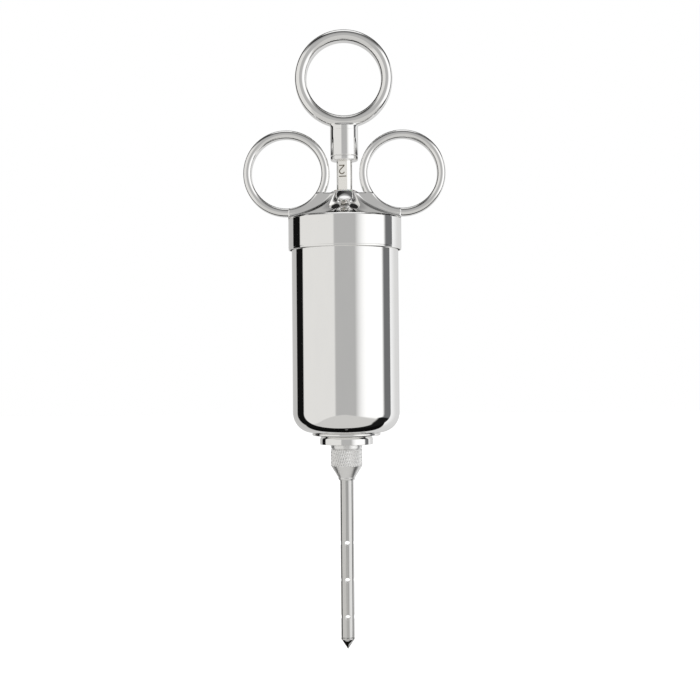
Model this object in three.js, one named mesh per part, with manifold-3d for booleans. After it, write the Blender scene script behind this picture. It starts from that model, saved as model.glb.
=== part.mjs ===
// Meat injector: a stainless steel marinade syringe worked with a thumb ring and two finger rings.
// The cap carries the finger rings, the barrel screws up into the cap, the plunger slides through
// the cap, and the needle screws onto the nozzle under the barrel.
// Millimetres. +Z is up and the needle points down. The origin is on the barrel axis, level with
// the centres of the two finger rings.
import * as THREE from "three";
import { mergeVertices } from "three/addons/utils/BufferGeometryUtils.js";
import Module from "manifold-3d";

const wasm = await Module();
wasm.setup();

// Driving dimensions.
const FINGER = { holeRadius: 12.5, outerRadius: 15.45, centreX: 20.75, straight: 2.4 };
const THUMB = { holeRadius: 13.4, outerRadius: 17.47, centreZ: 34, straight: 3 };
const NECK = { radius: 5, topZ: 19.5, bottomZ: 4.4, socketRadius: 2.9, socketTopZ: 14 };
const ROD = { radius: 2.8, studRadius: 2.4, topZ: 13.5, flatDepth: 0.55, flatTurn: -16 };
const CAP = { radius: 20.2, rimZ: -27.55, shoulderZ: -16.55, roofZ: -18.15, bossTopZ: -6.6 };
const BELL = { focusRadius: 2.6, topRadius: 4.5, drop: 4.256 };
const WEB = { topZ: -7, bottomZ: -16.5, halfWidth: 20 };
const BARREL = { radius: 19.05, wall: 0.8, rimZ: -18.75, bottomZ: -92.7, corner: 9 };
const PISTON = { radius: 18, topZ: -71.1, bottomZ: -84.6, corner: 8.6, recessRadius: 7.6, recessDepth: 7 };
const ORING = { section: 1, midRadius: 17.1, upperZ: -73.15, lowerZ: -76.05 };
const NOZZLE = { headRadius: 7, headTopZ: -90, stem: 4.1, core: 3.4, bore: 1.6, endZ: -102.1 };
const BASE = { washerRadius: 12.2, washerBottomZ: -93.8, nutRadius: 9.45, nutBottomZ: -96.9 };
const HUB = { radius: 5.6, topZ: -97, grooveZ: -98.5, coneTopZ: -104.6, bottomZ: -109.7, seatZ: -103.3 };
const NEEDLE = { radius: 2.4, bore: 1.75, bottomZ: -165.6, tipZ: -169.9, holeRadius: 0.92 };
const NEEDLE_HOLES_Z = [-132.1, -145.25, -158.4];

// Right-hand threads: one turn's travel, lowest point, length in turns, and the ridge's own size.
const BARREL_THREAD = { pitch: 2.5, startZ: -23.9, turns: 1.5, height: 0.35, root: 1.3, crest: 0.7 };
const NEEDLE_THREAD = { pitch: 1.25, startZ: -100.9, turns: 2, height: 0.5, root: 0.75, crest: 0.3 };
const THREAD_ROOM = 0.2;
const RUN_OUT_TURNS = 0.25;

const GAP = 0.05; // between pieces that are clamped together
const FINE = 32; // sides of the large round pieces
const COARSE = 20; // sides of the small ones

// ---- solids ----

// A three.js geometry as a manifold-3d solid: positions only, vertices merged, flat slivers dropped.
function toSolid(geometry) {
  const bare = geometry.clone();
  bare.deleteAttribute("normal");
  bare.deleteAttribute("uv");
  const merged = mergeVertices(bare, 1e-4);
  const corners = merged.index.array;
  const kept = [];
  for (let i = 0; i < corners.length; i += 3) {
    const [a, b, c] = corners.slice(i, i + 3);
    if (a !== b && b !== c && c !== a) kept.push(a, b, c);
  }
  return new wasm.Manifold(
    new wasm.Mesh({
      numProp: 3,
      vertProperties: merged.attributes.position.array,
      triVerts: new Uint32Array(kept),
    }),
  );
}

function toGeometry(solid) {
  const mesh = solid.getMesh();
  return new THREE.BufferGeometry()
    .setAttribute("position", new THREE.BufferAttribute(mesh.vertProperties, 3))
    .setIndex(new THREE.BufferAttribute(mesh.triVerts, 1));
}

// A closed outline of [radius, height] pairs turned about the Y axis of three.js.
function turned(outline, sides) {
  const points = outline.map(([radius, height]) => new THREE.Vector2(radius, height));
  if (THREE.ShapeUtils.area(points) < 0) points.reverse();
  const onAxis = points[0].x === 0 && points[points.length - 1].x === 0;
  if (!onAxis) points.push(points[0].clone());
  return new THREE.LatheGeometry(points, sides);
}

// The same, turned about +Z.
function turnedZ(outline, sides) {
  return toSolid(turned(outline, sides).rotateX(Math.PI / 2));
}

function washer(inner, outer, topZ, bottomZ, sides) {
  return turnedZ(
    [
      [inner, bottomZ],
      [outer, bottomZ],
      [outer, topZ],
      [inner, topZ],
    ],
    sides,
  );
}

function rod(radius, topZ, bottomZ, sides) {
  return turnedZ(
    [
      [0, bottomZ],
      [radius, bottomZ],
      [radius, topZ],
      [0, topZ],
    ],
    sides,
  );
}

// Points on a circular arc of an outline, from one angle to another, in degrees.
function arc(centreRadius, centreZ, radius, from, to, steps) {
  return Array.from({ length: steps + 1 }, (_, i) => {
    const angle = THREE.MathUtils.degToRad(from + ((to - from) * i) / steps);
    return [centreRadius + radius * Math.cos(angle), centreZ + radius * Math.sin(angle)];
  });
}

// A finger ring in the XZ plane: its section has round front and back and straight walls between.
function ringSolid({ holeRadius, outerRadius, straight }, centreX, centreZ) {
  const round = (outerRadius - holeRadius) / 2;
  const middle = (outerRadius + holeRadius) / 2;
  const section = [
    ...arc(middle, straight / 2, round, 0, 180, 4),
    ...arc(middle, -straight / 2, round, 180, 360, 4),
  ];
  return toSolid(turned(section, FINE)).translate([centreX, 0, centreZ]);
}

// One helical ridge: a straight bar of many steps, wound round the axis. room thickens it for cutting.
function ridge({ pitch, startZ, turns, height, root, crest }, coreRadius, sides, room = 0) {
  const bar = new THREE.BoxGeometry(turns, 1, 1, Math.round(turns * sides), 1, 1);
  const at = bar.getAttribute("position");
  for (let i = 0; i < at.count; i++) {
    const turn = at.getX(i) + turns / 2;
    const outer = at.getY(i) > 0;
    const fade = Math.min(1, (turn + 0.01) / RUN_OUT_TURNS, (turns - turn + 0.01) / RUN_OUT_TURNS);
    const lift = room > 0 ? height + room : height * fade;
    const radius = outer ? coreRadius + lift : coreRadius - 0.2;
    const halfWidth = (outer ? crest : root) / 2 + room;
    const z = startZ + turn * pitch - Math.sign(at.getZ(i)) * halfWidth;
    at.setXYZ(i, radius * Math.cos(turn * 2 * Math.PI), radius * Math.sin(turn * 2 * Math.PI), z);
  }
  return toSolid(bar);
}

// The groove that a ridge runs in: the same helix with room round it, longer by whole turns.
function groove(thread, coreRadius, sides, turnsBelow, turnsAbove) {
  const longer = {
    ...thread,
    startZ: thread.startZ - turnsBelow * thread.pitch,
    turns: thread.turns + turnsBelow + turnsAbove,
  };
  return ridge(longer, coreRadius, sides, THREAD_ROOM);
}

// ---- materials ----

const polishedSteel = new THREE.MeshStandardMaterial({ color: 0xd9d9d8, metalness: 1, roughness: 0.06 });
const satinSteel = new THREE.MeshStandardMaterial({ color: 0xb4b4b0, metalness: 1, roughness: 0.34 });
const plainSteel = new THREE.MeshStandardMaterial({ color: 0xbcbcba, metalness: 1, roughness: 0.25 });
const silicone = new THREE.MeshStandardMaterial({ color: 0xe4e0d6, metalness: 0, roughness: 0.55 });
const acetal = new THREE.MeshStandardMaterial({ color: 0xf0efe9, metalness: 0, roughness: 0.4 });

const injector = new THREE.Group();

function addPiece(name, solid, material) {
  const mesh = new THREE.Mesh(toGeometry(solid), material);
  mesh.name = name;
  injector.add(mesh);
}

// ---- cap with finger rings ----

// The cap's top is bell-shaped: steep at the boss, then flatter and flatter towards the shoulder.
function bellZ(radius) {
  const spread = (radius - BELL.focusRadius) / (BELL.topRadius - BELL.focusRadius);
  return CAP.bossTopZ - BELL.drop * Math.log(spread);
}

// Skirt and bell-shaped top, open below and bored for the rod's guide bush.
const BUSH_BORE = 3.6;
const capBore = BARREL.radius + 0.15;
const capMouth = { radius: BARREL.radius + 0.6, depth: 1.2 };

function capShell() {
  return turnedZ(
    [
      [BUSH_BORE, CAP.bossTopZ],
      [BELL.topRadius - 0.1, CAP.bossTopZ],
      ...[4.6, 5, 5.7, 7, 9, 12, 15.5, 19.7].map((radius) => [radius, bellZ(radius)]),
      [CAP.radius, CAP.shoulderZ],
      [CAP.radius, CAP.rimZ + 0.1],
      [CAP.radius - 0.1, CAP.rimZ],
      [capMouth.radius, CAP.rimZ],
      [capMouth.radius, CAP.rimZ + capMouth.depth],
      [capBore, CAP.rimZ + capMouth.depth],
      [capBore, CAP.roofZ],
      [BUSH_BORE, CAP.roofZ],
    ],
    FINE,
  );
}

// The plate between the rings, as thick as they are, with the finger holes cut clear.
function webPlate() {
  const thickness = FINGER.straight + FINGER.outerRadius - FINGER.holeRadius;
  const height = WEB.topZ - WEB.bottomZ;
  const plate = toSolid(
    new THREE.BoxGeometry(2 * WEB.halfWidth, thickness, height).translate(
      0,
      0,
      (WEB.topZ + WEB.bottomZ) / 2,
    ),
  );
  const insideBand = FINGER.holeRadius + 0.4;
  const cutter = () => toSolid(new THREE.CylinderGeometry(insideBand, insideBand, 20, FINE));
  return plate
    .subtract(cutter().translate([FINGER.centreX, 0, 0]))
    .subtract(cutter().translate([-FINGER.centreX, 0, 0]));
}

addPiece(
  "finger_ring_cap",
  capShell()
    .add(webPlate())
    .add(ringSolid(FINGER, FINGER.centreX, 0))
    .add(ringSolid(FINGER, -FINGER.centreX, 0))
    .subtract(rod(BUSH_BORE, 0, CAP.roofZ - 1, COARSE))
    .subtract(groove(BARREL_THREAD, BARREL.radius, FINE, 2, 0)),
  polishedSteel,
);

// Flanged bush that guides the plunger rod in the boss.
addPiece(
  "rod_guide_bush",
  turnedZ(
    [
      [ROD.radius + 0.1, CAP.bossTopZ + 0.55],
      [3.8, CAP.bossTopZ + 0.55],
      [3.95, CAP.bossTopZ + GAP],
      [BUSH_BORE - 0.1, CAP.bossTopZ + GAP],
      [BUSH_BORE - 0.1, CAP.roofZ],
      [ROD.radius + 0.1, CAP.roofZ],
    ],
    COARSE,
  ),
  acetal,
);

// Seat ring between the cap's roof and the barrel's rim.
addPiece("cap_gasket", washer(16.8, 19.05, CAP.roofZ - GAP, BARREL.rimZ + GAP, FINE), silicone);

// ---- barrel and nozzle ----

const floorZ = BARREL.bottomZ + 0.9;
const cornerRadius = BARREL.radius - BARREL.corner;
const cornerZ = BARREL.bottomZ + BARREL.corner;
const NOZZLE_HOLE = 4.25;
const headBottomZ = NOZZLE.headTopZ - 1.35;

addPiece(
  "barrel",
  turnedZ(
    [
      [BARREL.radius - BARREL.wall, BARREL.rimZ],
      [BARREL.radius, BARREL.rimZ],
      ...arc(cornerRadius, cornerZ, BARREL.corner, 0, -90, 6),
      [NOZZLE_HOLE, BARREL.bottomZ],
      [NOZZLE_HOLE, floorZ],
      ...arc(cornerRadius, cornerZ, BARREL.corner - BARREL.wall, -90, 0, 6).map(([radius, z]) => [
        radius,
        Math.max(z, floorZ),
      ]),
    ],
    FINE,
  ).add(ridge(BARREL_THREAD, BARREL.radius, FINE)),
  polishedSteel,
);

addPiece(
  "nozzle_gasket",
  washer(NOZZLE_HOLE, NOZZLE.headRadius, headBottomZ - GAP, floorZ + GAP, COARSE),
  silicone,
);

// Flanged hollow stud: its head clamps the floor from inside, its stem carries the needle thread.
addPiece(
  "nozzle_stud",
  turnedZ(
    [
      [NOZZLE.bore, NOZZLE.headTopZ],
      [NOZZLE.headRadius - 0.5, NOZZLE.headTopZ],
      [NOZZLE.headRadius, NOZZLE.headTopZ - 0.5],
      [NOZZLE.headRadius, headBottomZ],
      [NOZZLE.stem, headBottomZ],
      [NOZZLE.stem, BASE.nutBottomZ + 0.3],
      [NOZZLE.core, BASE.nutBottomZ + 0.05],
      [NOZZLE.core, NOZZLE.endZ],
      [NOZZLE.bore, NOZZLE.endZ],
    ],
    COARSE,
  ).add(ridge(NEEDLE_THREAD, NOZZLE.core, COARSE)),
  plainSteel,
);

addPiece(
  "base_washer",
  turnedZ(
    [
      [NOZZLE_HOLE, BARREL.bottomZ - GAP],
      [BASE.washerRadius - 0.3, BARREL.bottomZ - GAP],
      [BASE.washerRadius, BARREL.bottomZ - 0.4],
      [BASE.washerRadius, BASE.washerBottomZ + 0.35],
      [BASE.washerRadius - 0.3, BASE.washerBottomZ],
      [NOZZLE_HOLE, BASE.washerBottomZ],
    ],
    FINE,
  ),
  polishedSteel,
);

addPiece(
  "nozzle_nut",
  turnedZ(
    [
      [NOZZLE.stem + 0.1, BASE.washerBottomZ - GAP],
      [BASE.nutRadius - 0.9, BASE.washerBottomZ - GAP],
      [BASE.nutRadius - 0.25, BASE.washerBottomZ - 0.35],
      [BASE.nutRadius, BASE.washerBottomZ - 0.95],
      [BASE.nutRadius, BASE.nutBottomZ],
      [NOZZLE.stem + 0.1, BASE.nutBottomZ],
    ],
    FINE,
  ),
  polishedSteel,
);

// ---- needle ----

const hubBore = NOZZLE.core + 0.15;
const tubeSocket = NEEDLE.radius + 0.07;

addPiece(
  "needle_hub",
  turnedZ(
    [
      [hubBore, HUB.topZ],
      [HUB.radius, HUB.topZ],
      [HUB.radius, HUB.grooveZ + 0.2],
      [HUB.radius - 0.3, HUB.grooveZ + 0.1],
      [HUB.radius - 0.3, HUB.grooveZ - 0.1],
      [HUB.radius, HUB.grooveZ - 0.2],
      [HUB.radius, HUB.coneTopZ],
      [2.75, HUB.bottomZ],
      [tubeSocket, HUB.bottomZ],
      [tubeSocket, HUB.seatZ],
      [hubBore, HUB.seatZ],
    ],
    COARSE,
  ).subtract(groove(NEEDLE_THREAD, NOZZLE.core, COARSE, 0, 2)),
  satinSteel,
);

addPiece("needle_gasket", washer(1.7, 3.4, NOZZLE.endZ - GAP, HUB.seatZ + GAP, COARSE), silicone);

function needleTube() {
  const bore = new THREE.CylinderGeometry(NEEDLE.holeRadius, NEEDLE.holeRadius, 8, 12);
  const alongY = toSolid(bore);
  const alongX = toSolid(bore.clone().rotateZ(Math.PI / 2));
  const tube = washer(NEEDLE.bore, NEEDLE.radius, HUB.seatZ, NEEDLE.bottomZ + GAP, COARSE);
  return NEEDLE_HOLES_Z.reduce(
    (left, z) => left.subtract(alongY.translate([0, 0, z])).subtract(alongX.translate([0, 0, z])),
    tube,
  );
}

addPiece("needle_tube", needleTube(), satinSteel);

addPiece(
  "needle_tip",
  turnedZ(
    [
      [0, NEEDLE.tipZ],
      [NEEDLE.radius, NEEDLE.bottomZ - 0.7],
      [NEEDLE.radius + 0.08, NEEDLE.bottomZ - 0.5],
      [NEEDLE.radius + 0.08, NEEDLE.bottomZ],
      [NEEDLE.bore - GAP, NEEDLE.bottomZ],
      [NEEDLE.bore - GAP, NEEDLE.bottomZ + 3],
      [0, NEEDLE.bottomZ + 3],
    ],
    COARSE,
  ),
  satinSteel,
);

// ---- plunger ----

// Thumb ring with its socketed neck.
addPiece(
  "thumb_ring",
  turnedZ(
    [
      [0, NECK.topZ],
      [NECK.radius - 0.6, NECK.topZ],
      [NECK.radius, NECK.topZ - 1.5],
      [NECK.radius, NECK.bottomZ + 1.9],
      [NECK.radius - 0.15, NECK.bottomZ + 1.7],
      [NECK.radius, NECK.bottomZ + 1.5],
      [NECK.radius, NECK.bottomZ + 0.8],
      [NECK.radius - 0.25, NECK.bottomZ + 0.25],
      [NECK.radius - 0.8, NECK.bottomZ],
      [NECK.socketRadius, NECK.bottomZ],
      [NECK.socketRadius, NECK.socketTopZ],
      [0, NECK.socketTopZ],
    ],
    COARSE,
  ).add(ringSolid(THUMB, 0, THUMB.centreZ)),
  polishedSteel,
);

// Rod with the milled flat that carries the dose marks, and a thinner stud through the piston.
const washerThickness = 1;
const shoulderZ = PISTON.topZ + GAP + washerThickness + GAP;
const recessTopZ = PISTON.bottomZ + PISTON.recessDepth;

function plungerRod() {
  const flatCutter = toSolid(
    new THREE.BoxGeometry(10, 4, 68).translate(0, -(ROD.radius - ROD.flatDepth) - 2, -28),
  ).rotate([0, 0, ROD.flatTurn]);
  return rod(ROD.radius, ROD.topZ, shoulderZ, COARSE)
    .subtract(flatCutter)
    .add(rod(ROD.studRadius, shoulderZ + 1, PISTON.bottomZ + 0.4, COARSE));
}

addPiece("plunger_rod", plungerRod(), polishedSteel);

addPiece(
  "piston_top_washer",
  washer(ROD.studRadius + 0.1, 9, PISTON.topZ + GAP + washerThickness, PISTON.topZ + GAP, COARSE),
  plainSteel,
);

const grooveHalf = ORING.section + 0.15;
const grooveRoot = ORING.midRadius - ORING.section - 0.1;

function oringGroove(z) {
  return [
    [PISTON.radius, z + grooveHalf],
    [grooveRoot, z + grooveHalf],
    [grooveRoot, z - grooveHalf],
    [PISTON.radius, z - grooveHalf],
  ];
}

addPiece(
  "piston_body",
  turnedZ(
    [
      [ROD.studRadius + 0.1, PISTON.topZ],
      [PISTON.radius, PISTON.topZ],
      ...oringGroove(ORING.upperZ),
      ...oringGroove(ORING.lowerZ),
      ...arc(PISTON.radius - PISTON.corner, PISTON.bottomZ + 7, PISTON.corner, 0, -54, 4),
      [PISTON.radius - 4.2, PISTON.bottomZ],
      [PISTON.recessRadius, PISTON.bottomZ],
      [PISTON.recessRadius, recessTopZ],
      [ROD.studRadius + 0.1, recessTopZ],
    ],
    FINE,
  ),
  acetal,
);

function oring(z) {
  return turnedZ(arc(ORING.midRadius, z, ORING.section, 0, 360 - 45, 7), FINE);
}

addPiece("piston_oring_upper", oring(ORING.upperZ), silicone);
addPiece("piston_oring_lower", oring(ORING.lowerZ), silicone);

addPiece(
  "piston_bottom_washer",
  washer(ROD.studRadius + 0.1, 6.8, recessTopZ - GAP, recessTopZ - washerThickness, COARSE),
  plainSteel,
);

// Split spring washer under the nut.
const springTopZ = recessTopZ - washerThickness - GAP;
const springBottomZ = springTopZ - 1.1;

addPiece(
  "piston_spring_washer",
  washer(ROD.studRadius + 0.15, 4.3, springTopZ, springBottomZ, COARSE).subtract(
    toSolid(new THREE.BoxGeometry(4, 0.5, 4).translate(3.5, 0, (springTopZ + springBottomZ) / 2)),
  ),
  plainSteel,
);

// Hexagon nut, 8 mm across flats.
const nutTopZ = springBottomZ - GAP;
const nutCircle = 4 / Math.cos(Math.PI / 6);

addPiece(
  "piston_nut",
  washer(0.1, nutCircle, nutTopZ, nutTopZ - 4, 6).subtract(
    rod(ROD.studRadius + 0.1, nutTopZ + 1, nutTopZ - 5, COARSE),
  ),
  plainSteel,
);

export default injector;
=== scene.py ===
import math

import bpy
import numpy as np
from mathutils import Matrix, Vector


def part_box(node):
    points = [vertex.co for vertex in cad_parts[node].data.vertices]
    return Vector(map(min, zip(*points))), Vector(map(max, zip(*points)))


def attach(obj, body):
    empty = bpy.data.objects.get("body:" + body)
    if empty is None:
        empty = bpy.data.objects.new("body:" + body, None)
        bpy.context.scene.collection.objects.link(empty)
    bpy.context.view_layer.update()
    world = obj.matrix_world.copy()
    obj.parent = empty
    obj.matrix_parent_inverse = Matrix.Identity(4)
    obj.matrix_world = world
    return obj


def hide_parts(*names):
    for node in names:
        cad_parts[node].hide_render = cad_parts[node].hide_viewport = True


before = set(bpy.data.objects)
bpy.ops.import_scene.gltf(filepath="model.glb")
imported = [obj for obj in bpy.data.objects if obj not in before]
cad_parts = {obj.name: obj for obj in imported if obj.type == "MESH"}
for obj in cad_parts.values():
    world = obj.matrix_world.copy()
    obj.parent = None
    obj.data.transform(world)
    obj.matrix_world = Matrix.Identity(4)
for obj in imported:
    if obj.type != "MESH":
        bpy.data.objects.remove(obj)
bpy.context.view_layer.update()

# The looks of a meat injector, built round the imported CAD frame.
# Lengths are in millimetres until a mesh is made. Heights come from the frame's boxes.

MM = 0.001
SMOOTH_SIDES = 160  # sides of the large round pieces
SMALL_SIDES = 96  # sides of the small ones
EDGE = 0.1  # how far a plain machined edge is rounded


def top(node):
    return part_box(node)[1][2] / MM


def bottom(node):
    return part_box(node)[0][2] / MM


def radius_of(node):
    low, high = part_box(node)
    return (high[1] - low[1]) / 2 / MM


# ---- node trees ----


class Tree:
    """Adds nodes to a material's or the world's node tree."""

    def __init__(self, owner):
        owner.use_nodes = True
        self.nodes = owner.node_tree.nodes
        self.links = owner.node_tree.links
        self.nodes.clear()

    def add(self, kind, values=(), **settings):
        node = self.nodes.new(kind)
        for name, value in settings.items():
            setattr(node, name, value)
        for socket, value in dict(values).items():
            self.put(node.inputs[socket], value)
        return node

    def put(self, socket, value):
        if isinstance(value, bpy.types.NodeSocket):
            self.links.new(value, socket)
        else:
            socket.default_value = value

    def math(self, operation, a, b=0.0):
        return self.add("ShaderNodeMath", {0: a, 1: b}, operation=operation).outputs[0]

    def ramp(self, value, low, high, out_low=0.0, out_high=1.0, shape="SMOOTHSTEP"):
        node = self.add("ShaderNodeMapRange", interpolation_type=shape)
        names = ("Value", "From Min", "From Max", "To Min", "To Max")
        for name, number in zip(names, (value, low, high, out_low, out_high)):
            self.put(node.inputs[name], number)
        return node.outputs["Result"]

    def mix(self, factor, a, b):
        node = self.add("ShaderNodeMix", data_type="RGBA")
        self.put(node.inputs[0], factor)
        self.put(node.inputs[6], a)
        self.put(node.inputs[7], b)
        return node.outputs[2]

    def noise(self, position, scale, detail=4.0):
        node = self.add("ShaderNodeTexNoise", {"Vector": position, "Scale": scale, "Detail": detail})
        return node.outputs[0]

    def stretched(self, scale):
        """Object coordinates, scaled along X, Y and Z."""
        place = self.add("ShaderNodeTexCoord").outputs["Object"]
        return self.add("ShaderNodeMapping", {"Vector": place, "Scale": scale}).outputs[0]


def grey(value, warmth=0.0):
    return (value, value * (1 - 0.3 * warmth), value * (1 - warmth), 1.0)


# ---- materials ----


def finished(name, color, metallic, roughness, bump_height, bump_strength, bump_distance, **constants):
    """A Principled material: colour, roughness and bump come from nodes, and the rest is constant."""
    material = bpy.data.materials.new(name)
    tree = Tree(material)
    color, roughness, bump_height = (make(tree) for make in (color, roughness, bump_height))
    bump = tree.add(
        "ShaderNodeBump",
        {"Height": bump_height, "Strength": bump_strength, "Distance": bump_distance},
    )
    shader = tree.add(
        "ShaderNodeBsdfPrincipled",
        {
            "Base Color": color,
            "Roughness": roughness,
            "Metallic": metallic,
            "Normal": bump.outputs[0],
            **constants,
        },
    )
    tree.add("ShaderNodeOutputMaterial", {0: shader.outputs[0]})
    return material


def polished_steel():
    """Mirror-polished stainless steel: faint cloudy wear and hairlines left by the buffing wheel."""
    smear = (260, 260, 90)
    hairline = (500, 500, 9000)
    return finished(
        "polished_steel",
        lambda t: t.mix(t.noise(t.stretched(smear), 1.0), grey(0.93, 0.01), grey(0.97, 0.02)),
        1.0,
        lambda t: t.ramp(t.noise(t.stretched(smear), 1.0), 0.3, 0.7, 0.03, 0.06),
        lambda t: t.noise(t.stretched(hairline), 1.0),
        0.01,
        0.00002,
    )


def satin_steel():
    """Drawn needle stock: a fine grain along the length."""
    grain = (9000, 9000, 160)
    return finished(
        "satin_steel",
        lambda t: t.mix(t.noise(t.stretched(grain), 1.0), grey(0.6, 0.03), grey(0.76, 0.02)),
        1.0,
        lambda t: t.ramp(t.noise(t.stretched(grain), 1.0), 0.3, 0.7, 0.07, 0.14),
        lambda t: t.noise(t.stretched(grain), 1.0),
        0.12,
        0.00003,
    )


def turned_steel():
    """Lathe-turned steel: fine rings round the axis."""
    rings = (400, 400, 14000)
    return finished(
        "turned_steel",
        lambda t: t.mix(t.noise(t.stretched(rings), 1.0), grey(0.7, 0.03), grey(0.84, 0.02)),
        1.0,
        lambda t: t.ramp(t.noise(t.stretched(rings), 1.0), 0.3, 0.7, 0.18, 0.3),
        lambda t: t.noise(t.stretched(rings), 1.0),
        0.15,
        0.00003,
    )


def hub_nickel():
    """Bright matte nickel of the knurled hub."""
    speckle = (5000, 5000, 5000)
    return finished(
        "hub_nickel",
        lambda t: t.mix(t.noise(t.stretched(speckle), 1.0), grey(0.92, 0.02), grey(0.98, 0.01)),
        1.0,
        lambda t: t.ramp(t.noise(t.stretched(speckle), 1.0), 0.3, 0.7, 0.26, 0.38),
        lambda t: t.noise(t.stretched(speckle), 1.0),
        0.12,
        0.00003,
    )


def milled_steel():
    """The flat on the rod: cross-wise cutter marks, bright and slightly warm."""
    marks = (600, 600, 9000)
    return finished(
        "milled_steel",
        lambda t: t.mix(t.noise(t.stretched(marks), 1.0), grey(0.93, 0.06), grey(0.97, 0.04)),
        1.0,
        lambda t: t.ramp(t.noise(t.stretched(marks), 1.0), 0.3, 0.7, 0.16, 0.24),
        lambda t: t.noise(t.stretched(marks), 1.0),
        0.25,
        0.00004,
    )


def engraving():
    """Laser-darkened steel of the dose marks."""
    burn = (6000, 6000, 6000)
    return finished(
        "engraving",
        lambda t: t.mix(t.noise(t.stretched(burn), 1.0), (0.16, 0.14, 0.11, 1), (0.3, 0.27, 0.22, 1)),
        0.3,
        lambda t: t.ramp(t.noise(t.stretched(burn), 1.0), 0.3, 0.7, 0.55, 0.75),
        lambda t: t.noise(t.stretched(burn), 1.0),
        0.2,
        0.00003,
    )


def silicone():
    """Translucent white food-grade silicone with a fine moulded texture."""
    skin = (3000, 3000, 3000)
    return finished(
        "silicone",
        lambda t: t.mix(t.noise(t.stretched(skin), 1.0), (0.82, 0.8, 0.74, 1), (0.9, 0.88, 0.82, 1)),
        0.0,
        lambda t: t.ramp(t.noise(t.stretched(skin), 1.0), 0.3, 0.7, 0.45, 0.6),
        lambda t: t.noise(t.stretched(skin), 1.0),
        0.1,
        0.00003,
        **{"Subsurface Weight": 0.2, "Subsurface Scale": 0.001},
    )


def acetal():
    """Turned white acetal: tool rings under a waxy skin."""
    rings = (300, 300, 9000)
    return finished(
        "acetal",
        lambda t: t.mix(t.noise(t.stretched(rings), 1.0), (0.84, 0.83, 0.8, 1), (0.92, 0.91, 0.88, 1)),
        0.0,
        lambda t: t.ramp(t.noise(t.stretched(rings), 1.0), 0.3, 0.7, 0.32, 0.45),
        lambda t: t.noise(t.stretched(rings), 1.0),
        0.12,
        0.00004,
        **{"Subsurface Weight": 0.1, "Subsurface Scale": 0.001},
    )


POLISHED = polished_steel()
SATIN = satin_steel()
TURNED = turned_steel()
NICKEL = hub_nickel()
MILLED = milled_steel()
ENGRAVED = engraving()
SILICONE = silicone()
ACETAL = acetal()


# ---- meshes ----


def new_mesh(name, points, faces, normals=None, sharp_from=35):
    mesh = bpy.data.meshes.new(name)
    mesh.from_pydata((np.asarray(points, float) * MM).tolist(), [], faces)
    mesh.validate()
    mesh.polygons.foreach_set("use_smooth", [True] * len(mesh.polygons))
    if normals is None:
        mesh.set_sharp_from_angle(angle=math.radians(sharp_from))
    else:
        mesh.normals_split_custom_set_from_vertices(np.asarray(normals, float).tolist())
    mesh.update()
    return mesh


def piece(mesh, body, slot, materials, *nodes):
    thing = bpy.data.objects.new(mesh.name, mesh)
    bpy.context.collection.objects.link(thing)
    for material in materials:
        mesh.materials.append(material)
    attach(thing, body)
    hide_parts(*nodes)
    return thing


def filleted(outline):
    """Rounds the corners of an outline of (radius, height) or (radius, height, fillet) points.

    The outline runs counter-clockwise, with radius to the right and height up. It is closed unless
    both ends are on the axis. Returns its points and their outward normals.
    """
    corners = [np.array(corner[:2], float) for corner in outline]
    fillets = [corner[2] if len(corner) > 2 else EDGE for corner in outline]
    opened = corners[0][0] == 0 and corners[-1][0] == 0
    count = len(corners)
    points, normals = [], []
    for i, corner in enumerate(corners):
        before = corner - corners[i - 1]
        after = corners[(i + 1) % count] - corner
        if opened and i in (0, count - 1):
            along = after if i == 0 else before
            along = along / np.linalg.norm(along)
            points.append(corner)
            normals.append(np.array([along[1], -along[0]]))
            continue
        length = min(np.linalg.norm(before), np.linalg.norm(after))
        before = before / np.linalg.norm(before)
        after = after / np.linalg.norm(after)
        turn = math.atan2(before[0] * after[1] - before[1] * after[0], before @ after)
        slope = math.tan(abs(turn) / 2)
        reach = min(fillets[i] * slope, 0.48 * length)
        fillet = reach / max(slope, 1e-6)
        outward = np.array([before[1], -before[0]])
        centre = corner - before * reach - math.copysign(fillet, turn) * outward
        steps = max(2, math.ceil(math.degrees(abs(turn)) / (4 if fillet > 0.5 else 15)))
        for step in range(steps + 1):
            angle = turn * step / steps
            cos, sin = math.cos(angle), math.sin(angle)
            normal = np.array([outward[0] * cos - outward[1] * sin, outward[0] * sin + outward[1] * cos])
            points.append(centre + math.copysign(fillet, turn) * normal)
            normals.append(normal)
    return np.array(points), np.array(normals), opened


def revolve(name, outline, sides=SMOOTH_SIDES, axis="Z", centre=(0, 0, 0), relief=None):
    """Turns an outline about Z, or about Y for a ring that faces the front.

    relief(angle, radius, height) moves the surface out or in, and then the normals come from the faces.
    """
    profile, profile_normals, opened = filleted(outline)
    angles = np.arange(sides) * 2 * math.pi / sides
    points, normals, rows = [], [], []
    for (radius, height), (out, up) in zip(profile, profile_normals):
        ring = [0.0] if radius < 1e-6 else angles
        rows.append([len(points) + j % len(ring) for j in range(sides)])
        for angle in ring:
            moved = radius + (relief(angle, radius, height) if relief else 0.0)
            points.append((moved * math.cos(angle), moved * math.sin(angle), height))
            normals.append((out * math.cos(angle), out * math.sin(angle), up))
    faces = []
    for i in range(len(rows) - 1 if opened else len(rows)):
        low, high = rows[i], rows[(i + 1) % len(rows)]
        for j in range(sides):
            k = (j + 1) % sides
            loop = list(dict.fromkeys((low[j], low[k], high[k], high[j])))
            if len(loop) > 2:
                faces.append(loop)
    points, normals = np.array(points), np.array(normals)
    if axis == "Y":
        # (x, y, z) -> (x, -z, y) keeps the faces pointing out.
        points = points[:, [0, 2, 1]] * (1, -1, 1)
        normals = normals[:, [0, 2, 1]] * (1, -1, 1)
    points = points + np.array(centre)
    return new_mesh(name, points, faces, None if relief else normals)


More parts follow.
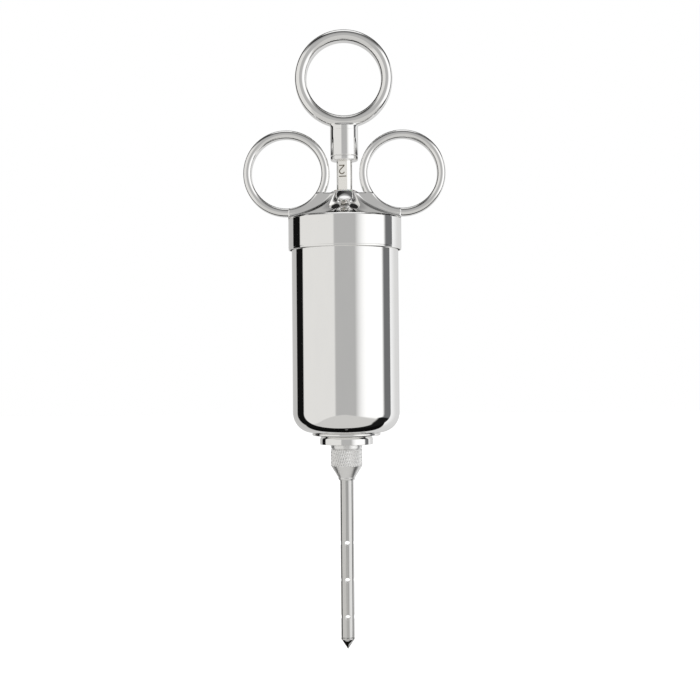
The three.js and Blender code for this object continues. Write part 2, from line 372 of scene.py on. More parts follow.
def loft(name, levels, material_of_side=None):
    """Joins closed (x, y) loops at rising heights, and caps both ends."""
    points, faces = [], []
    count = len(levels[0][1])
    for height, loop in levels:
        points += [(x, y, height) for x, y in loop]
    for i in range(len(levels) - 1):
        for j in range(count):
            k = (j + 1) % count
            faces.append([i * count + j, i * count + k, (i + 1) * count + k, (i + 1) * count + j])
    faces.append(list(range(count))[::-1])
    faces.append([(len(levels) - 1) * count + j for j in range(count)])
    mesh = new_mesh(name, points, faces, sharp_from=20)
    if material_of_side:
        for i in range(len(levels) - 1):
            for j in range(count):
                mesh.polygons[i * count + j].material_index = material_of_side(levels[i][0], j)
    return mesh


def helix(name, core, pitch, start, turns, height, root, crest, fade_turns=0.25, sides=SMALL_SIDES):
    """A right-hand thread ridge that fades in and out at its ends."""
    steps = int(turns * sides)
    points, faces = [], []
    for step in range(steps + 1):
        turn = turns * step / steps
        fade = min(1.0, (turn + 0.01) / fade_turns, (turns - turn + 0.01) / fade_turns)
        level = start + turn * pitch
        section = (
            (core - 0.1, root / 2),
            (core, root / 2),
            (core + height * fade, crest / 2),
            (core + height * fade, -crest / 2),
            (core, -root / 2),
            (core - 0.1, -root / 2),
        )
        angle = 2 * math.pi * turn
        points += [(r * math.cos(angle), r * math.sin(angle), level + dz) for r, dz in section]
    for step in range(steps):
        for j in range(6):
            k = (j + 1) % 6
            faces.append([step * 6 + j, step * 6 + k, step * 6 + 6 + k, step * 6 + 6 + j])
    faces.append(list(range(6))[::-1])
    faces.append([steps * 6 + j for j in range(6)])
    return new_mesh(name, points, faces)


# ---- filleted castings, from a distance field ----


def soft_min(a, b, blend):
    part = np.clip(0.5 + 0.5 * (b - a) / blend, 0, 1)
    return b + (a - b) * part - blend * part * (1 - part)


def box_field(x, y, z, low, high, rounding):
    middle = [(a + b) / 2 for a, b in zip(low, high)]
    half = [(b - a) / 2 - rounding for a, b in zip(low, high)]
    away = [np.abs(v - m) - h for v, m, h in zip((x, y, z), middle, half)]
    outside = np.sqrt(sum(np.maximum(a, 0) ** 2 for a in away))
    return outside + np.minimum(np.maximum(np.maximum(away[0], away[1]), away[2]), 0) - rounding


def ring_field(x, y, z, ring, inset):
    spread = np.hypot(x - ring["x"], z - ring["z"])
    beyond = np.maximum(np.abs(y) - ring["straight"] / 2, 0)
    middle = (ring["hole"] + ring["outer"]) / 2
    round_radius = (ring["outer"] - ring["hole"]) / 2
    return np.hypot(spread - middle, beyond) - round_radius + inset


def iso_mesh(name, field, low, high, step):
    """The surface where field(x, y, z) is zero, as quads whose corners sit exactly on it."""
    grids = [np.arange(a, b + step, step) for a, b in zip(low, high)]
    values = field(*np.meshgrid(*grids, indexing="ij"))
    inside = values < 0
    cells = np.zeros([n - 1 for n in inside.shape], int)
    for i in (0, 1):
        for j in (0, 1):
            for k in (0, 1):
                cells += inside[i : i + cells.shape[0], j : j + cells.shape[1], k : k + cells.shape[2]]
    crossing = (cells > 0) & (cells < 8)
    index = np.full(cells.shape, -1)
    index[crossing] = np.arange(crossing.sum())
    home = np.array(low) + (np.argwhere(crossing) + 0.5) * step
    points = home.copy()
    for _ in range(6):
        slope = gradient(field, points)
        value = field(*points.T)
        points -= slope * (value / np.maximum((slope**2).sum(axis=1), 1e-9))[:, None]
        points = home + np.clip(points - home, -0.75 * step, 0.75 * step)
    faces = []
    for axis in range(3):
        here = [slice(1, n - 1) for n in inside.shape]
        here[axis] = slice(0, inside.shape[axis] - 1)
        there = list(here)
        there[axis] = slice(1, inside.shape[axis])
        a, b = inside[tuple(here)], inside[tuple(there)]
        second, third = (axis + 1) % 3, (axis + 2) % 3
        for leaving in (True, False):
            spots = np.argwhere((a & ~b) if leaving else (~a & b))
            for other in (second, third):
                spots[:, other] += 1
            around = []
            for back_second, back_third in ((1, 1), (0, 1), (0, 0), (1, 0)):
                cell = spots.copy()
                cell[:, second] -= back_second
                cell[:, third] -= back_third
                around.append(index[tuple(cell.T)])
            quads = np.stack(around, axis=1)
            faces.append(quads if leaving else quads[:, ::-1])
    normals = gradient(field, points)
    normals /= np.linalg.norm(normals, axis=1)[:, None]
    return new_mesh(name, points, np.concatenate(faces).tolist(), normals)


def gradient(field, points, reach=0.004):
    slopes = []
    for axis in range(3):
        shift = np.zeros(3)
        shift[axis] = reach
        slopes.append((field(*(points + shift).T) - field(*(points - shift).T)) / (2 * reach))
    return np.stack(slopes, axis=1)


# ---- driving dimensions that the frame's boxes don't hold ----

FINGER_RADII = {"hole": 12.5, "outer": 15.45, "straight": 2.4}
FINGER_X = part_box("finger_ring_cap")[1][0] / MM - FINGER_RADII["outer"]
FINGERS = [dict(FINGER_RADII, x=side * FINGER_X, z=0) for side in (-1, 1)]
THUMB = {"hole": 13.4, "outer": 17.47, "straight": 3, "x": 0}
THUMB["z"] = top("thumb_ring") - THUMB["outer"]

NECK_RADIUS = 5
SOCKET_RADIUS = 2.9
ROD_RADIUS = 2.8
FLAT_DEPTH = 0.55
FLAT_TURN = math.radians(-16)
STUD_RADIUS = 2.4

CAP_RADIUS = 20.2
CAP_RIM = bottom("finger_ring_cap")
CAP_SHOULDER = CAP_RIM + 11
CAP_ROOF = top("cap_gasket") + 0.05
BOSS_TOP = top("rod_guide_bush") - 0.55
BELL = {"focus": 2.6, "top_radius": 4.5, "drop": 4.256, "foot_radius": 19.7}
WEB_TOP = BOSS_TOP - 0.4
WEB_HALF_WIDTH = 20
WEB_THICKNESS = FINGER_RADII["straight"] + FINGER_RADII["outer"] - FINGER_RADII["hole"]
BUSH_BORE = 3.6
INSET = 0.03  # how far a blend lies under the round pieces that it joins

BARREL_RADIUS = 19.05
BARREL_WALL = 0.8
BARREL_CORNER = 9
HUB_RADIUS = 5.6
NEEDLE_RADIUS = 2.4
NEEDLE_BORE = 1.75
NEEDLE_HOLE = 0.92


def ring_outline(ring):
    """A stadium: round front and back, straight walls."""
    round_radius = (ring["outer"] - ring["hole"]) / 2
    reach = ring["straight"] / 2 + round_radius
    return [
        (ring["hole"], -reach, round_radius),
        (ring["outer"], -reach, round_radius),
        (ring["outer"], reach, round_radius),
        (ring["hole"], reach, round_radius),
    ]


def ring_mesh(name, ring):
    return revolve(name, ring_outline(ring), axis="Y", centre=(ring["x"], 0, ring["z"]))


def washer(name, inner, outer, high, low, edge=EDGE, sides=SMALL_SIDES):
    outline = [(inner, low, edge), (outer, low, edge), (outer, high, edge), (inner, high, edge)]
    return revolve(name, outline, sides)


# ---- cap with finger rings ----


def bell_height(radius):
    """The cap's top: steep at the boss, then flatter and flatter towards the shoulder."""
    spread = (np.maximum(radius, BELL["top_radius"]) - BELL["focus"]) / (BELL["top_radius"] - BELL["focus"])
    return BOSS_TOP - BELL["drop"] * np.log(spread)


def cap_mesh():
    bore = BARREL_RADIUS + 0.6
    bell_radii = BELL["foot_radius"] * np.linspace(1, 0.5, 24) ** 2.1
    bell = [(radius, float(bell_height(radius)), 60) for radius in bell_radii]
    outline = [
        (bore, CAP_ROOF),
        (bore, CAP_RIM, 0.3),
        (CAP_RADIUS - 0.06, CAP_RIM, 0.25),
        (CAP_RADIUS - 0.06, CAP_RIM + 0.7, 0.2),
        (CAP_RADIUS, CAP_RIM + 0.8, 0.2),
        (CAP_RADIUS, CAP_SHOULDER, 0.35),
        *bell,
        (BELL["top_radius"], BOSS_TOP, 0.3),
        (BUSH_BORE, BOSS_TOP),
        (BUSH_BORE, CAP_ROOF),
    ]
    return revolve("cap_shell", outline)


def web_field(x, y, z):
    """The plate between the rings, blended into the rings and the bell-shaped top."""
    half = WEB_THICKNESS / 2
    low = (-WEB_HALF_WIDTH, -half, CAP_SHOULDER - 1)
    high = (WEB_HALF_WIDTH, half, WEB_TOP)
    shape = box_field(x, y, z, low, high, 0.45)
    for ring in FINGERS:
        shape = soft_min(shape, ring_field(x, y, z, ring, INSET), 0.5)
    spread = np.maximum(np.hypot(x, y), BELL["top_radius"])
    slope = BELL["drop"] / (spread - BELL["focus"])
    bell = (z - bell_height(spread)) / np.sqrt(1 + slope**2) + INSET
    shape = soft_min(shape, np.maximum(bell, spread - BELL["foot_radius"]), 1.2)
    for ring in FINGERS:
        hole = ring["hole"] + INSET - np.hypot(x - ring["x"], z - ring["z"])
        shape = -soft_min(-shape, -hole, 1.0)
    rod_bore = BUSH_BORE + 0.3 - np.hypot(x, y)
    return np.maximum(np.maximum(shape, rod_bore), CAP_SHOULDER - 0.6 - z)


def build_cap():
    slot = ("cap", "polished_steel", [POLISHED], "finger_ring_cap")
    piece(cap_mesh(), *slot)
    for name, ring in zip(("finger_ring_left", "finger_ring_right"), FINGERS):
        piece(ring_mesh(name, ring), *slot)
    low = (-FINGER_X - 7, -9.2, CAP_SHOULDER - 1.4)
    high = (FINGER_X + 7, 9.2, WEB_TOP + 3)
    piece(iso_mesh("ring_web", web_field, low, high, 0.32), *slot)


def build_guide_bush():
    roof = bottom("rod_guide_bush")
    outline = [
        (ROD_RADIUS + 0.1, roof),
        (BUSH_BORE - 0.1, roof),
        (BUSH_BORE - 0.1, BOSS_TOP + 0.05),
        (3.95, BOSS_TOP + 0.05, 0.05),
        (3.8, BOSS_TOP + 0.55, 0.2),
        (ROD_RADIUS + 0.1, BOSS_TOP + 0.55, 0.12),
    ]
    mesh = revolve("rod_guide_bush_turned", outline, SMALL_SIDES)
    piece(mesh, "cap", "acetal", [ACETAL], "rod_guide_bush")


# ---- plunger ----


def thumb_blend_field(x, y, z):
    neck_top = THUMB["z"] - THUMB["outer"] + 0.7
    spread = np.hypot(x, y)
    side = spread - NECK_RADIUS + INSET + 0.5
    above = z - neck_top + 0.5
    neck = np.hypot(np.maximum(side, 0), np.maximum(above, 0)) + np.minimum(np.maximum(side, above), 0) - 0.5
    shape = soft_min(neck, ring_field(x, y, z, THUMB, INSET), 1.0)
    shape = np.maximum(shape, THUMB["hole"] + INSET - np.hypot(x, z - THUMB["z"]))
    return np.maximum(shape, THUMB["z"] - THUMB["outer"] - 2 - z)


def build_thumb_ring():
    neck_bottom = bottom("thumb_ring")
    neck_top = THUMB["z"] - THUMB["outer"] - 1
    socket = top("plunger_rod") + 0.5
    slot = ("plunger", "polished_steel", [POLISHED], "thumb_ring")
    piece(ring_mesh("thumb_loop", THUMB), *slot)
    low = (-9, -5.2, THUMB["z"] - THUMB["outer"] - 2.6)
    high = (9, 5.2, THUMB["z"] - THUMB["hole"] + 2.6)
    piece(iso_mesh("thumb_loop_blend", thumb_blend_field, low, high, 0.26), *slot)
    neck = [
        (0, socket),
        (SOCKET_RADIUS, socket),
        (SOCKET_RADIUS, neck_bottom, 0.2),
        (NECK_RADIUS - 0.15, neck_bottom, 0.6),
        (NECK_RADIUS - 0.02, neck_bottom + 1.5, 0.25),
        (NECK_RADIUS - 0.22, neck_bottom + 1.72, 0.1),
        (NECK_RADIUS, neck_bottom + 1.95, 0.15),
        (NECK_RADIUS, neck_top),
        (0, neck_top),
    ]
    piece(revolve("thumb_neck", neck), *slot)


def flat_loop(depth):
    """The rod's section with a flat milled to a depth. The flat's side comes first."""
    half = math.acos(1 - depth / ROD_RADIUS)
    middle = -math.pi / 2 + FLAT_TURN
    angles = np.linspace(middle + half, middle - half + 2 * math.pi, SMALL_SIDES)
    return [(ROD_RADIUS * math.cos(a), ROD_RADIUS * math.sin(a)) for a in angles]


def build_rod():
    high = top("plunger_rod")
    low = top("piston_top_washer") + 0.05
    flat_low, flat_high = low + 7.6, bottom("thumb_ring") + 1
    levels = [
        (low, flat_loop(0.0005)),
        (flat_low, flat_loop(0.0005)),
        (flat_low + 0.4, flat_loop(FLAT_DEPTH)),
        (flat_high - 0.4, flat_loop(FLAT_DEPTH)),
        (flat_high, flat_loop(0.0005)),
        (high, flat_loop(0.0005)),
    ]
    last = SMALL_SIDES - 1
    mesh = loft("plunger_rod_ground", levels, lambda z, j: int(j == last and flat_low <= z < flat_high))
    piece(mesh, "plunger", "polished_steel", [POLISHED, MILLED], "plunger_rod")
    stud = [
        (0, bottom("plunger_rod")),
        (STUD_RADIUS, bottom("plunger_rod"), 0.4),
        (STUD_RADIUS, low + 0.5),
        (0, low + 0.5),
    ]
    piece(revolve("plunger_stud", stud, SMALL_SIDES), "plunger", "polished_steel", [TURNED], "plunger_rod")


def ribbon(name, path, width, rise=0.015):
    """A thin dark inlay along a path of (across, up) points on the rod's flat."""
    path = np.array(path, float)
    ahead = np.gradient(path, axis=0)
    ahead /= np.linalg.norm(ahead, axis=1)[:, None]
    side = np.stack([-ahead[:, 1], ahead[:, 0]], axis=1) * width / 2
    across = np.array([math.cos(FLAT_TURN), math.sin(FLAT_TURN), 0])
    out = np.array([math.sin(FLAT_TURN), -math.cos(FLAT_TURN), 0])
    points = []
    for lift in (-0.03, rise):
        for edge in (path + side, path - side):
            for a, up in edge:
                points.append(a * across + (ROD_RADIUS - FLAT_DEPTH + lift) * out + np.array([0, 0, up]))
    count = len(path)
    back_left, back_right, front_left, front_right = (np.arange(count) + k * count for k in range(4))
    faces = []
    for i in range(count - 1):
        j = i + 1
        faces.append([front_left[i], front_left[j], front_right[j], front_right[i]][::-1])
        faces.append([back_left[i], back_left[j], back_right[j], back_right[i]])
        faces.append([front_left[i], front_left[j], back_left[j], back_left[i]])
        faces.append([front_right[i], front_right[j], back_right[j], back_right[i]][::-1])
    faces.append([front_left[0], front_right[0], back_right[0], back_left[0]][::-1])
    faces.append([front_left[-1], front_right[-1], back_right[-1], back_left[-1]])
    faces = [[int(v) for v in face] for face in faces]
    return new_mesh(name, points, faces, sharp_from=20)


def numeral_two(across, base, size):
    """The figure 2, upside down so that it reads with the needle up."""
    bowl_angles = np.linspace(math.radians(165), math.radians(-35), 14)
    bowl = [(0.3 * math.cos(a), 0.7 + 0.3 * math.sin(a)) for a in bowl_angles]
    strokes = bowl + [(-0.28, 0.03), (-0.3, 0.0), (-0.2, 0.0), (0.34, 0.0)]
    return [(across - size * u, base - size * v) for u, v in strokes]


def numeral_one(across, base, size):
    strokes = [(-0.16, 0.78), (0.02, 0.97), (0.04, 0.92), (0.04, 0.5), (0.04, 0.0)]
    return [(across - size * u, base - size * v) for u, v in strokes]


OUNCE_TRAVEL = 28.3  # of the plunger, in a bore of 36.5 mm
DOSE_LINE = {"width": 0.4, "reach": 1.35}
NUMERAL = {"size": 3.0, "stroke": 0.42}


def build_dose_marks():
    first = BOSS_TOP + 5.4
    clear = 0.9
    size = NUMERAL["size"]
    two = numeral_two(-0.25, first + clear + size, size)
    one = numeral_one(0, first - OUNCE_TRAVEL + clear + size, size)
    marks = {"dose_two": (two, NUMERAL["stroke"]), "dose_one": (one, NUMERAL["stroke"])}
    for quarter in range(8):
        reach = DOSE_LINE["reach"] * (1 if quarter % 4 == 0 else 0.7 if quarter % 2 == 0 else 0.45)
        height = first - quarter * OUNCE_TRAVEL / 4
        line = [(-DOSE_LINE["reach"], height), (-DOSE_LINE["reach"] + 2 * reach, height)]
        marks[f"dose_line_{quarter + 1}"] = (line, DOSE_LINE["width"])
    for name, (path, width) in marks.items():
        piece(ribbon(name, path, width), "plunger", "polished_steel", [ENGRAVED])


def build_piston():
    low, high = bottom("piston_body"), top("piston_body")
    radius = radius_of("piston_body")
    recess = top("piston_bottom_washer") + 0.05
    grooves = []
    for node in ("piston_oring_lower", "piston_oring_upper"):
        middle = (top(node) + bottom(node)) / 2
        half = (top(node) - bottom(node)) / 2 + 0.15
        root = radius_of(node) - 2 * half + 0.2
        grooves += [(radius, middle - half), (root, middle - half)]
        grooves += [(root, middle + half), (radius, middle + half)]
    outline = [
        (STUD_RADIUS + 0.1, recess),
        (7.6, recess, 0.4),
        (7.6, low, 0.3),
        (14.6, low, 2),
        (radius, low + 5.5, 5),
        *grooves,
        (radius, high, 0.4),
        (STUD_RADIUS + 0.1, high),
    ]
    piece(revolve("piston_turned", outline), "plunger", "acetal", [ACETAL], "piston_body")
    for node in ("piston_oring_lower", "piston_oring_upper"):
        middle = (top(node) + bottom(node)) / 2
        section = (top(node) - bottom(node)) / 2
        outer = radius_of(node)
        inner = outer - 2 * section
        outline = [
            (inner, middle - section, section),
            (outer, middle - section, section),
            (outer, middle + section, section),
            (inner, middle + section, section),
        ]
        piece(revolve(f"{node}_moulded", outline), "piston_seals", "silicone", [SILICONE], node)


def build_piston_fasteners():
    for node in ("piston_top_washer", "piston_bottom_washer"):
        mesh = washer(f"{node}_turned", STUD_RADIUS + 0.1, radius_of(node), top(node), bottom(node), 0.15)
        piece(mesh, "plunger", "plain_steel", [TURNED], node)
    node = "piston_spring_washer"
    gap = 0.06  # radians, half the slot
    inner, outer = STUD_RADIUS + 0.15, radius_of(node)
    low, high = bottom(node), top(node)
    section = ((inner, low), (outer, low), (outer, high), (inner, high))
    points, faces = [], []
    for angle in np.linspace(gap, 2 * math.pi - gap, 60):
        for radius, height in section:
            points.append((radius * math.cos(angle), radius * math.sin(angle), height))
    for i in range(59):
        for j in range(4):
            k = (j + 1) % 4
            faces.append([4 * i + j, 4 * i + k, 4 * i + 4 + k, 4 * i + 4 + j])
    faces.append([3, 2, 1, 0])
    faces.append([4 * 59 + j for j in range(4)])
    mesh = new_mesh("piston_spring_washer_cut", points, faces)
    piece(mesh, "plunger", "plain_steel", [TURNED], node)

    node = "piston_nut"
    flats = radius_of(node)

    def hexagon(angle, radius, height):
        corner = abs((math.degrees(angle) + 30) % 60 - 30)
        return flats / math.cos(math.radians(30 - corner)) - radius if radius > 3.5 else 0.0

    outline = [
        (STUD_RADIUS + 0.1, bottom(node), 0.3),
        (3.9, bottom(node), 0.05),
        (4.1, bottom(node) + 0.3, 0.05),
        (4.1, top(node) - 0.3, 0.05),
        (3.9, top(node), 0.05),
        (STUD_RADIUS + 0.1, top(node), 0.3),
    ]
    mesh = revolve("piston_nut_forged", outline, 72, relief=hexagon)
    piece(mesh, "plunger", "plain_steel", [TURNED], node)


# ---- barrel and nozzle ----


def build_barrel():
    low, high = bottom("barrel"), top("barrel")
    floor = low + 0.9
    hole = 4.25
    inside = BARREL_RADIUS - BARREL_WALL
    outline = [
        (hole, low, 0.1),
        (BARREL_RADIUS, low, BARREL_CORNER),
        (BARREL_RADIUS, high, 0.25),
        (inside, high, 0.25),
        (inside, floor, BARREL_CORNER - BARREL_WALL),
        (hole, floor, 0.1),
    ]
    slot = ("barrel", "polished_steel", [POLISHED], "barrel")
    piece(revolve("barrel_drawn", outline), *slot)
    start = CAP_RIM + 3.65
    piece(helix("barrel_thread", BARREL_RADIUS, 2.5, start, 1.5, 0.35, 1.3, 0.7, sides=SMOOTH_SIDES), *slot)


def build_base():
    node = "base_washer"
    radius = radius_of(node)
    outline = [
        (4.25, bottom(node)),
        (radius, bottom(node), 0.45),
        (radius, top(node), 0.4),
        (4.25, top(node)),
    ]
    piece(revolve("base_washer_pressed", outline), "barrel", "polished_steel", [POLISHED], node)
    node = "nozzle_nut"
    radius = radius_of(node)
    outline = [
        (4.2, bottom(node)),
        (radius, bottom(node), 0.12),
        (radius, top(node), 1.3),
        (4.2, top(node)),
    ]
    piece(revolve("nozzle_nut_turned", outline), "barrel", "polished_steel", [POLISHED], node)
    mesh = washer("nozzle_gasket_cut", 4.25, 7, top("nozzle_gasket"), bottom("nozzle_gasket"), 0.05)
    piece(mesh, "barrel", "silicone", [SILICONE], "nozzle_gasket")


def build_nozzle():
    high, low = top("nozzle_stud"), bottom("nozzle_stud")
    seat = bottom("nozzle_nut")
    outline = [
        (1.6, low, 0.2),
        (3.4, low, 0.35),
        (3.4, seat + 0.05),
        (4.1, seat + 0.35),
        (4.1, top("nozzle_gasket") - 0.05 + 0.5),
        (7, top("nozzle_gasket") - 0.05 + 0.5),
        (7, high, 0.4),
        (1.6, high, 0.4),
    ]
    mesh = revolve("nozzle_stud_turned", outline, SMALL_SIDES)
    piece(mesh, "barrel", "plain_steel", [TURNED], "nozzle_stud")
    thread = helix("nozzle_thread", 3.4, 1.25, seat - 4, 2, 0.5, 0.75, 0.3)
    piece(thread, "barrel", "plain_steel", [TURNED], "nozzle_stud")


def build_cap_gasket():
    node = "cap_gasket"
    mesh = washer("cap_gasket_cut", 16.8, radius_of(node), top(node), bottom(node), 0.12, SMOOTH_SIDES)
    piece(mesh, "barrel_seal", "silicone", [SILICONE], node)


# ---- needle ----

KNURL = {"teeth": 38, "depth": 0.34, "lean": 0.38}


def build_hub():
    high, low = top("needle_hub"), bottom("needle_hub")
    seat = bottom("needle_gasket") - 0.05
    band_end = high - 1.3
    cone_top = high - 7.6
    knurl_rows = np.linspace(cone_top + 0.25, band_end - 0.5, 40)

    def knurl(angle, radius, height):
        if radius < HUB_RADIUS - 0.02 or not cone_top + 0.2 < height < band_end - 0.45:
            return 0.0
        shift = KNURL["lean"] * height / HUB_RADIUS
        right = abs(math.sin(KNURL["teeth"] / 2 * (angle - shift)))
        left = abs(math.sin(KNURL["teeth"] / 2 * (angle + shift)))
        return -KNURL["depth"] * (1 - min(right, 0.35 + 0.65 * left)) ** 1.5

    outline = [
        (HUB_RADIUS - 1.5, seat),
        (NEEDLE_RADIUS + 0.07, seat),
        (NEEDLE_RADIUS + 0.07, low),
        (2.75, low, 0.1),
        (3.1, low + 0.75, 0.1),
        (3.0, low + 0.95, 0.1),
        (HUB_RADIUS - 0.05, cone_top, 0.05),
        *[(HUB_RADIUS, z, 0) for z in knurl_rows],
        (HUB_RADIUS, band_end - 0.4, 0.05),
        (HUB_RADIUS - 0.35, band_end - 0.3, 0.05),
        (HUB_RADIUS - 0.35, band_end - 0.05, 0.05),
        (HUB_RADIUS, band_end, 0.05),
        (HUB_RADIUS, high, 0.2),
        (HUB_RADIUS - 1.5, high, 0.3),
    ]
    mesh = revolve("needle_hub_knurled", outline, 304, relief=knurl)
    hub = piece(mesh, "needle", "satin_steel", [NICKEL], "needle_hub")
    hub.visible_glossy = False


def cross_drilled(mesh, cutters):
    """Cuts each cutter mesh out of the mesh."""
    thing = bpy.data.objects.new(mesh.name, mesh)
    bpy.context.collection.objects.link(thing)
    drills = []
    for cutter in cutters:
        drill = bpy.data.objects.new(cutter.name, cutter)
        bpy.context.collection.objects.link(drill)
        drills.append(drill)
        modifier = thing.modifiers.new("drill", "BOOLEAN")
        modifier.operation = "DIFFERENCE"
        modifier.solver = "EXACT"
        modifier.object = drill
    depsgraph = bpy.context.evaluated_depsgraph_get()
    result = bpy.data.meshes.new_from_object(thing.evaluated_get(depsgraph))
    for used in (thing, *drills):
        bpy.data.objects.remove(used)
    result.name = "needle_tube_drilled"
    result.set_sharp_from_angle(angle=math.radians(30))
    return result


def build_needle():
    low, high = bottom("needle_tube"), top("needle_tube")
    outline = [(NEEDLE_BORE, low), (NEEDLE_RADIUS, low), (NEEDLE_RADIUS, high), (NEEDLE_BORE, high)]
    tube = revolve("needle_tube_plain", outline, SMALL_SIDES, relief=lambda angle, radius, height: 0.0)
    first = bottom("needle_hub") - 22.4
    spacing = 13.15
    cutters = []
    for station in range(3):
        height = first - station * spacing
        drill = [(0, -4), (NEEDLE_HOLE, -4, 0), (NEEDLE_HOLE, 4, 0), (0, 4)]
        along_y = revolve("drill_y", drill, 40, axis="Y", centre=(0, 0, height))
        along_x = along_y.copy()
        turn = Matrix.Rotation(math.pi / 2, 4, "Z")
        along_x.transform(turn)
        cutters += [along_y, along_x]
    drilled = piece(cross_drilled(tube, cutters), "needle", "satin_steel", [SATIN], "needle_tube")
    # The hub and the tube are kept out of reflections, so the dark band on the barrel's corner is unbroken.
    drilled.visible_glossy = False

    node = "needle_tip"
    tip, shoulder = bottom(node), top("needle_tip") - 3
    outline = [
        (0, tip),
        (NEEDLE_RADIUS + 0.05, shoulder - 0.7, 0.15),
        (NEEDLE_RADIUS + 0.08, shoulder - 0.25, 0.1),
        (NEEDLE_RADIUS - 0.12, shoulder - 0.1, 0.05),
        (NEEDLE_RADIUS - 0.12, shoulder, 0.05),
        (NEEDLE_BORE - 0.05, shoulder, 0.05),
        (NEEDLE_BORE - 0.05, top(node), 0.3),
        (0, top(node)),
    ]
    piece(revolve("needle_tip_ground", outline, SMALL_SIDES), "needle", "satin_steel", [SATIN], node)
    node = "needle_gasket"
    mesh = washer("needle_gasket_cut", 1.7, radius_of(node), top(node), bottom(node), 0.15)
    piece(mesh, "needle_seal", "silicone", [SILICONE], node)


# ---- studio ----

OVERHEAD = {"back": math.radians(8), "reach": math.radians(20)}


def studio_light():
    """A studio as the chrome sees it, told by direction.

    side is the angle round from the camera, in degrees: negative to the left, 180 behind the object.
    A light wall stands on the left, a grey gap round the camera and a white softbox on the right,
    over a pale table and under a dim ceiling. Dark screens part them from the backdrop behind, and
    a white panel hangs overhead.
    """
    world = bpy.data.worlds.new("studio")
    bpy.context.scene.world = world
    tree = Tree(world)
    way = tree.add("ShaderNodeTexCoord").outputs["Generated"]
    x, y, z = tree.add("ShaderNodeSeparateXYZ", {0: way}).outputs
    degrees = 180 / math.pi

    def times(a, b):
        return tree.math("MULTIPLY", a, b)

    def plus(a, b):
        return tree.math("ADD", a, b)

    def over(angle, edge, softness=2.0):
        return tree.ramp(angle, plus(edge, -softness / 2), plus(edge, softness / 2))

    turn = tree.math("ARCTAN2", x, times(y, -1))
    side = times(turn, degrees)
    height = times(tree.math("ARCSINE", z), degrees)
    sideways = tree.math("ABSOLUTE", x)
    across = tree.math("SINE", turn)
    to_left = tree.math("MAXIMUM", times(across, -1), 0.0)
    to_right = tree.math("MAXIMUM", across, 0.0)

    # In front: wall, gap and softbox side by side.
    far_from_gap = tree.ramp(side, 20, 48, 1, 0, "LINEAR")
    softbox = tree.math("SUBTRACT", 1.0, times(far_from_gap, far_from_gap))
    front = tree.mix(over(side, -22.5, 5), grey(0.77, 0.03), grey(0.46, 0.01))
    front = tree.mix(softbox, front, grey(1.08))

    # Below: a pale table, whose far edge drops towards the left.
    table_edge = plus(plus(times(times(to_left, to_left), -38), times(to_right, -16)), -8)
    table_fade = tree.ramp(height, plus(table_edge, times(to_right, -8)), plus(table_edge, 5), 1, 0)
    front = tree.mix(table_fade, front, grey(0.61, 0.03))

    # A screen on the right, black below the table's level, where it also reaches further round.
    low_reach = tree.ramp(height, -22, -14, 1, 0)
    lowest = tree.ramp(height, -56, -42, 1, 0)
    screen_edge = plus(plus(times(low_reach, -12.5), times(lowest, 8)), 88)
    right_screen = tree.mix(tree.ramp(height, -20, -16, 1, 0), grey(0.16, -0.04), grey(0.01))
    front = tree.mix(over(side, screen_edge, 9), front, right_screen)

    # Above: the dim ceiling, lower in the middle than over the wall and the softbox, and a dark band.
    ceiling_edge = plus(times(sideways, 20), 28)
    front = tree.mix(over(height, ceiling_edge, 12), front, grey(0.32))
    band = times(tree.ramp(height, 48, 52), tree.ramp(height, 66, 71, 1, 0))
    front = tree.mix(band, front, tree.mix(tree.ramp(x, -0.5, 0.5), grey(0.02), grey(0.12)))

    # Behind: the backdrop, brighter on the right, ends at screens on both sides and above and below.
    backdrop = tree.mix(tree.ramp(x, -0.7, 0.75), grey(0.52, 0.02), grey(0.71))
    far_right = times(tree.ramp(side, 110, 138, 1, 0), tree.ramp(x, 0, 0.2))
    backdrop = tree.mix(far_right, backdrop, grey(0.93, -0.01))
    depth = tree.math("MAXIMUM", y, 0.01)
    drop = tree.math("DIVIDE", z, depth)
    lower_rise = times(tree.math("DIVIDE", x, depth), -0.34)
    lower_edge = plus(tree.math("MINIMUM", tree.math("MAXIMUM", lower_rise, -0.75), 0.0), -1.03)
    screen_below = tree.ramp(drop, plus(lower_edge, -0.05), plus(lower_edge, 0.05), 1, 0)
    behind = tree.mix(screen_below, backdrop, grey(0.004))
    behind = tree.mix(over(height, 25, 5), behind, grey(0.02))
    behind = tree.mix(over(height, 56, 6), behind, grey(0.32))

    # Round the horizon: backdrop, left screen, front, and the backdrop again.
    left_screen = tree.mix(over(height, 45, 8), grey(0.006), grey(0.2))
    seen = tree.mix(over(side, -130.5), behind, left_screen)
    seen = tree.mix(over(side, -103.5, 3), seen, front)
    seen = tree.mix(over(side, 111.5), seen, behind)

    # Overhead: a white panel, a little behind the zenith.
    overhead = plus(times(z, math.cos(OVERHEAD["back"])), times(y, math.sin(OVERHEAD["back"])))
    edge = math.cos(OVERHEAD["reach"])
    seen = tree.mix(tree.ramp(overhead, edge - 0.015, edge + 0.015), seen, grey(1.0))
    camera_ray = tree.add("ShaderNodeLightPath").outputs["Is Camera Ray"]
    color = tree.mix(camera_ray, seen, grey(1.0))
    background = tree.add("ShaderNodeBackground", {"Color": color, "Strength": 1.0})
    tree.add("ShaderNodeOutputWorld", {0: background.outputs[0]})


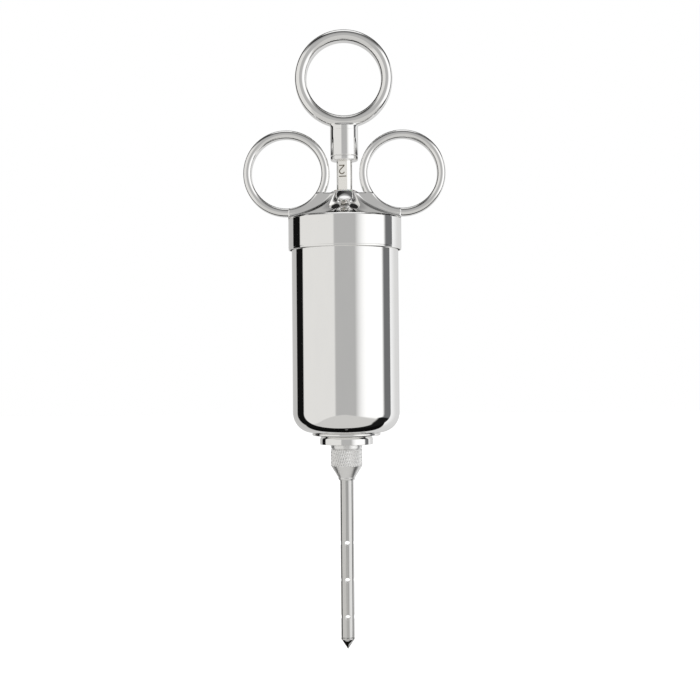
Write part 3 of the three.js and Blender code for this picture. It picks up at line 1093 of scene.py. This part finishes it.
def build_floor():
    """A wide pale floor, low enough for the unscrewed needle. The chrome sees the studio instead of it."""
    half = 3000
    barrel_travel = 7.5
    needle_travel = 4.375
    height = bottom("needle_tip") - barrel_travel - needle_travel - 0.5
    corners = [(-half, -half, height), (half, -half, height), (half, half, height), (-half, half, height)]
    mesh = new_mesh("floor", corners, [[0, 1, 2, 3]])
    floor = bpy.data.objects.new("floor", mesh)
    bpy.context.collection.objects.link(floor)
    floor.visible_glossy = False
    material = bpy.data.materials.new("pale_floor")
    tree = Tree(material)
    grain = tree.noise(tree.stretched((40, 40, 40)), 1.0)
    paint = tree.add("ShaderNodeBsdfDiffuse", {"Color": tree.mix(grain, grey(0.86), grey(0.9))})
    glow = tree.add("ShaderNodeEmission", {"Color": grey(1.0), "Strength": 0.8})
    both = tree.add("ShaderNodeAddShader", {0: paint.outputs[0], 1: glow.outputs[0]})
    tree.add("ShaderNodeOutputMaterial", {0: both.outputs[0]})
    mesh.materials.append(material)


CAMERA_DISTANCE = 501
CAMERA_LENS = 72  # on a sensor of 36 mm
CAMERA_RIGHT = 1.5
CAMERA_HEIGHT = -70.4
CAMERA_PITCH = math.radians(0.818)
CAMERA_ROLL = math.radians(-0.46)


def build_camera():
    data = bpy.data.cameras.new("camera")
    data.lens = CAMERA_LENS
    data.sensor_width = 36
    data.clip_start = 0.01
    camera = bpy.data.objects.new("camera", data)
    place = Vector((CAMERA_RIGHT, -CAMERA_DISTANCE, CAMERA_HEIGHT)) * MM
    level = Matrix.Rotation(math.pi / 2 + CAMERA_PITCH, 4, "X")
    roll = Matrix.Rotation(CAMERA_ROLL, 4, "Z")
    camera.matrix_world = Matrix.Translation(place) @ level @ roll
    bpy.context.collection.objects.link(camera)
    bpy.context.scene.camera = camera
    bpy.context.scene.view_settings.view_transform = "Standard"


build_camera()
studio_light()
build_floor()
build_cap()
build_guide_bush()
build_thumb_ring()
build_rod()
build_dose_marks()
build_piston()
build_piston_fasteners()
build_barrel()
build_base()
build_nozzle()
build_cap_gasket()
build_hub()
build_needle()
